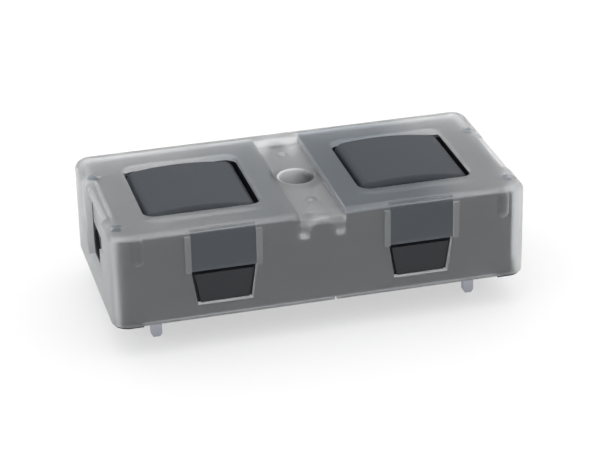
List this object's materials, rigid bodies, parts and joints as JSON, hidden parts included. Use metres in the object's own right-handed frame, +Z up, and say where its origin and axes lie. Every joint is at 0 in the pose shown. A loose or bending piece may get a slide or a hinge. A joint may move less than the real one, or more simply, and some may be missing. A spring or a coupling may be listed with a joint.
{
  "type": "lever wire connector",
  "caption": "Board-mounted wire connector: a frosted clip-over hood over two lever-operated two-pole connectors, wired from each end and soldered through flat pins.",
  "frame": {"origin": "axis of the centre screw hole, in the plane of the board that the feet stand on", "axes": "+X along the length towards the right-hand connector, +Y across the width towards the rear, +Z up, away from the board"},
  "size_m": [0.05, 0.0252, 0.0158],
  "materials": {
    "frosted_hood": "satin",
    "dark_housing": "satin",
    "dark_lever": "fine eroded",
    "tinned_copper": "satin tin",
    "spring_steel": "rolled",
    "axle_steel": "ground"
  },
  "bodies": {
    "connector": {"hood": "frosted_hood", "screw_sleeve": "axle_steel", "housing_left": "dark_housing", "housing_right": "dark_housing", "bottom_cover_left": "dark_housing", "bottom_cover_right": "dark_housing", "joining_key_front": "dark_housing", "joining_key_rear": "dark_housing", "axle_left": "axle_steel", "axle_right": "axle_steel", "contact_left_front": "tinned_copper", "contact_left_rear": "tinned_copper", "contact_right_front": "tinned_copper", "contact_right_rear": "tinned_copper", "spring_left_front": "spring_steel", "spring_left_rear": "spring_steel", "spring_right_front": "spring_steel", "spring_right_rear": "spring_steel"},
    "lever_left": {"lever_left": "dark_lever"},
    "lever_right": {"lever_right": "dark_lever"}
  },
  "joints": [
    {"name": "lever_left_hinge", "type": "hinge", "parent": "connector", "child": "lever_left", "pos_m": [-0.018, 0, 0.0096], "axis": [0, -1, 0], "range_deg": [0, 80], "deforming": ["spring_left_front", "spring_left_rear"]},
    {"name": "lever_right_hinge", "type": "hinge", "parent": "connector", "child": "lever_right", "pos_m": [0.018, 0, 0.0096], "axis": [0, 1, 0], "range_deg": [-2.7, 80], "deforming": ["spring_right_front", "spring_right_rear"]}
  ]
}
